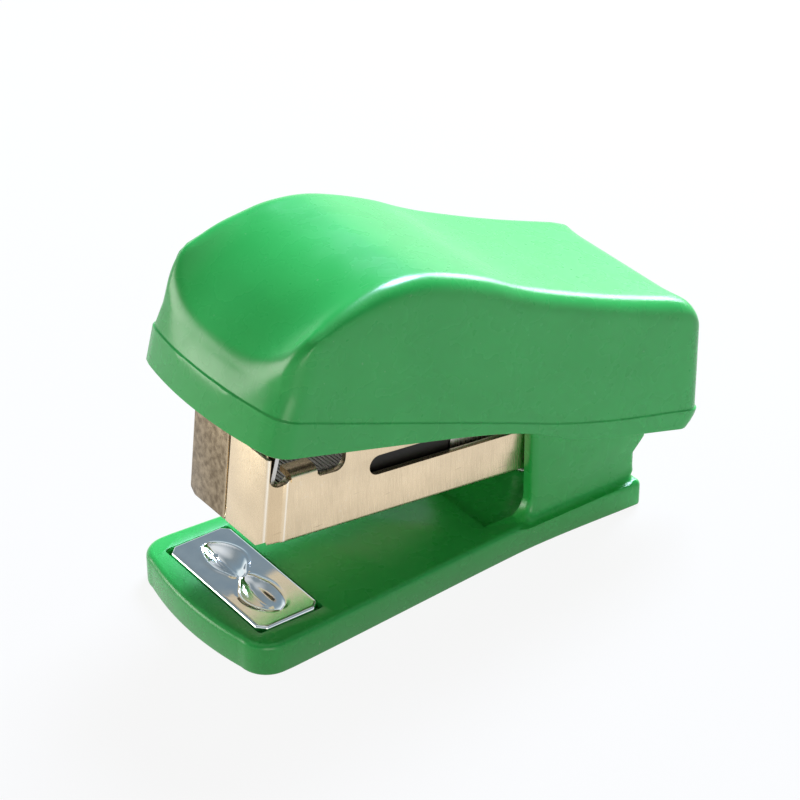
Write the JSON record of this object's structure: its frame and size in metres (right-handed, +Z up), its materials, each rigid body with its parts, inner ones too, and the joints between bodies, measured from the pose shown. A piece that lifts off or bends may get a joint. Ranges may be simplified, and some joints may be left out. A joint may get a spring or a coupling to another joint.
{
  "type": "stapler",
  "caption": "Pocket stapler: green plastic base with hinge post, steel magazine with sprung pusher, and a plastic cover that drives the blade.",
  "frame": {"origin": "on the table, under the middle of the stapler's overall box", "axes": "+X towards the tail where the hinge is, +Y to the left seen from the nose end looking back, +Z up"},
  "size_m": [0.0637, 0.026, 0.0427],
  "materials": {
    "green_plastic_base": "semi-gloss moulded plastic",
    "green_plastic_cover": "semi-gloss moulded plastic",
    "anvil_chrome": "bright plated, pressed",
    "magazine_steel": "nickel-plated sheet, fine grain",
    "rail_steel": "plated sheet",
    "staple_wire": "galvanised wire",
    "black_plastic": "satin moulded plastic",
    "carriage_steel": "plated sheet",
    "rivet_steel": "satin",
    "rod_steel": "bright drawn",
    "spring_steel": "drawn wire",
    "blade_steel": "ground",
    "frame_steel": "plated sheet",
    "pin_steel": "bright drawn"
  },
  "bodies": {
    "base": {"base": "green_plastic_base", "anvil_plate": "anvil_chrome", "hinge_pin": "pin_steel", "pin_clip": "pin_steel", "lift_spring": "spring_steel"},
    "magazine": {"magazine": "magazine_steel", "staple_rail": "rail_steel", "staple_strip": "staple_wire", "guide_rod": "rod_steel", "spring_stop": "rail_steel", "pusher_spring": "spring_steel", "return_spring": "spring_steel"},
    "pusher": {"pusher": "black_plastic", "pusher_carriage": "carriage_steel", "pusher_rivet": "rivet_steel"},
    "cover": {"cover": "green_plastic_cover", "cover_frame": "frame_steel", "driver_blade": "blade_steel", "blade_rivet_left": "rivet_steel", "blade_rivet_right": "rivet_steel"}
  },
  "joints": [
    {"name": "magazine_hinge", "type": "hinge", "parent": "base", "child": "magazine", "pos_m": [0.0206, 0, 0.01553], "axis": [0, -1, 0], "range_deg": [0, 9.7], "stiffness_Nm_per_rad": 0.3, "springref_deg": -5.73, "deforming": ["lift_spring"]},
    {"name": "cover_hinge", "type": "hinge", "parent": "magazine", "child": "cover", "pos_m": [0.0206, 0, 0.01553], "axis": [0, -1, 0], "range_deg": [-80, 8.6], "stiffness_Nm_per_rad": 0.6, "deforming": ["return_spring"]},
    {"name": "pusher_slide", "type": "slide", "parent": "magazine", "child": "pusher", "axis": [0.994, 0, -0.1092], "range_m": [0, 0.007], "stiffness_N_per_m": 60, "springref_m": -0.02, "deforming": ["pusher_spring"]}
  ]
}
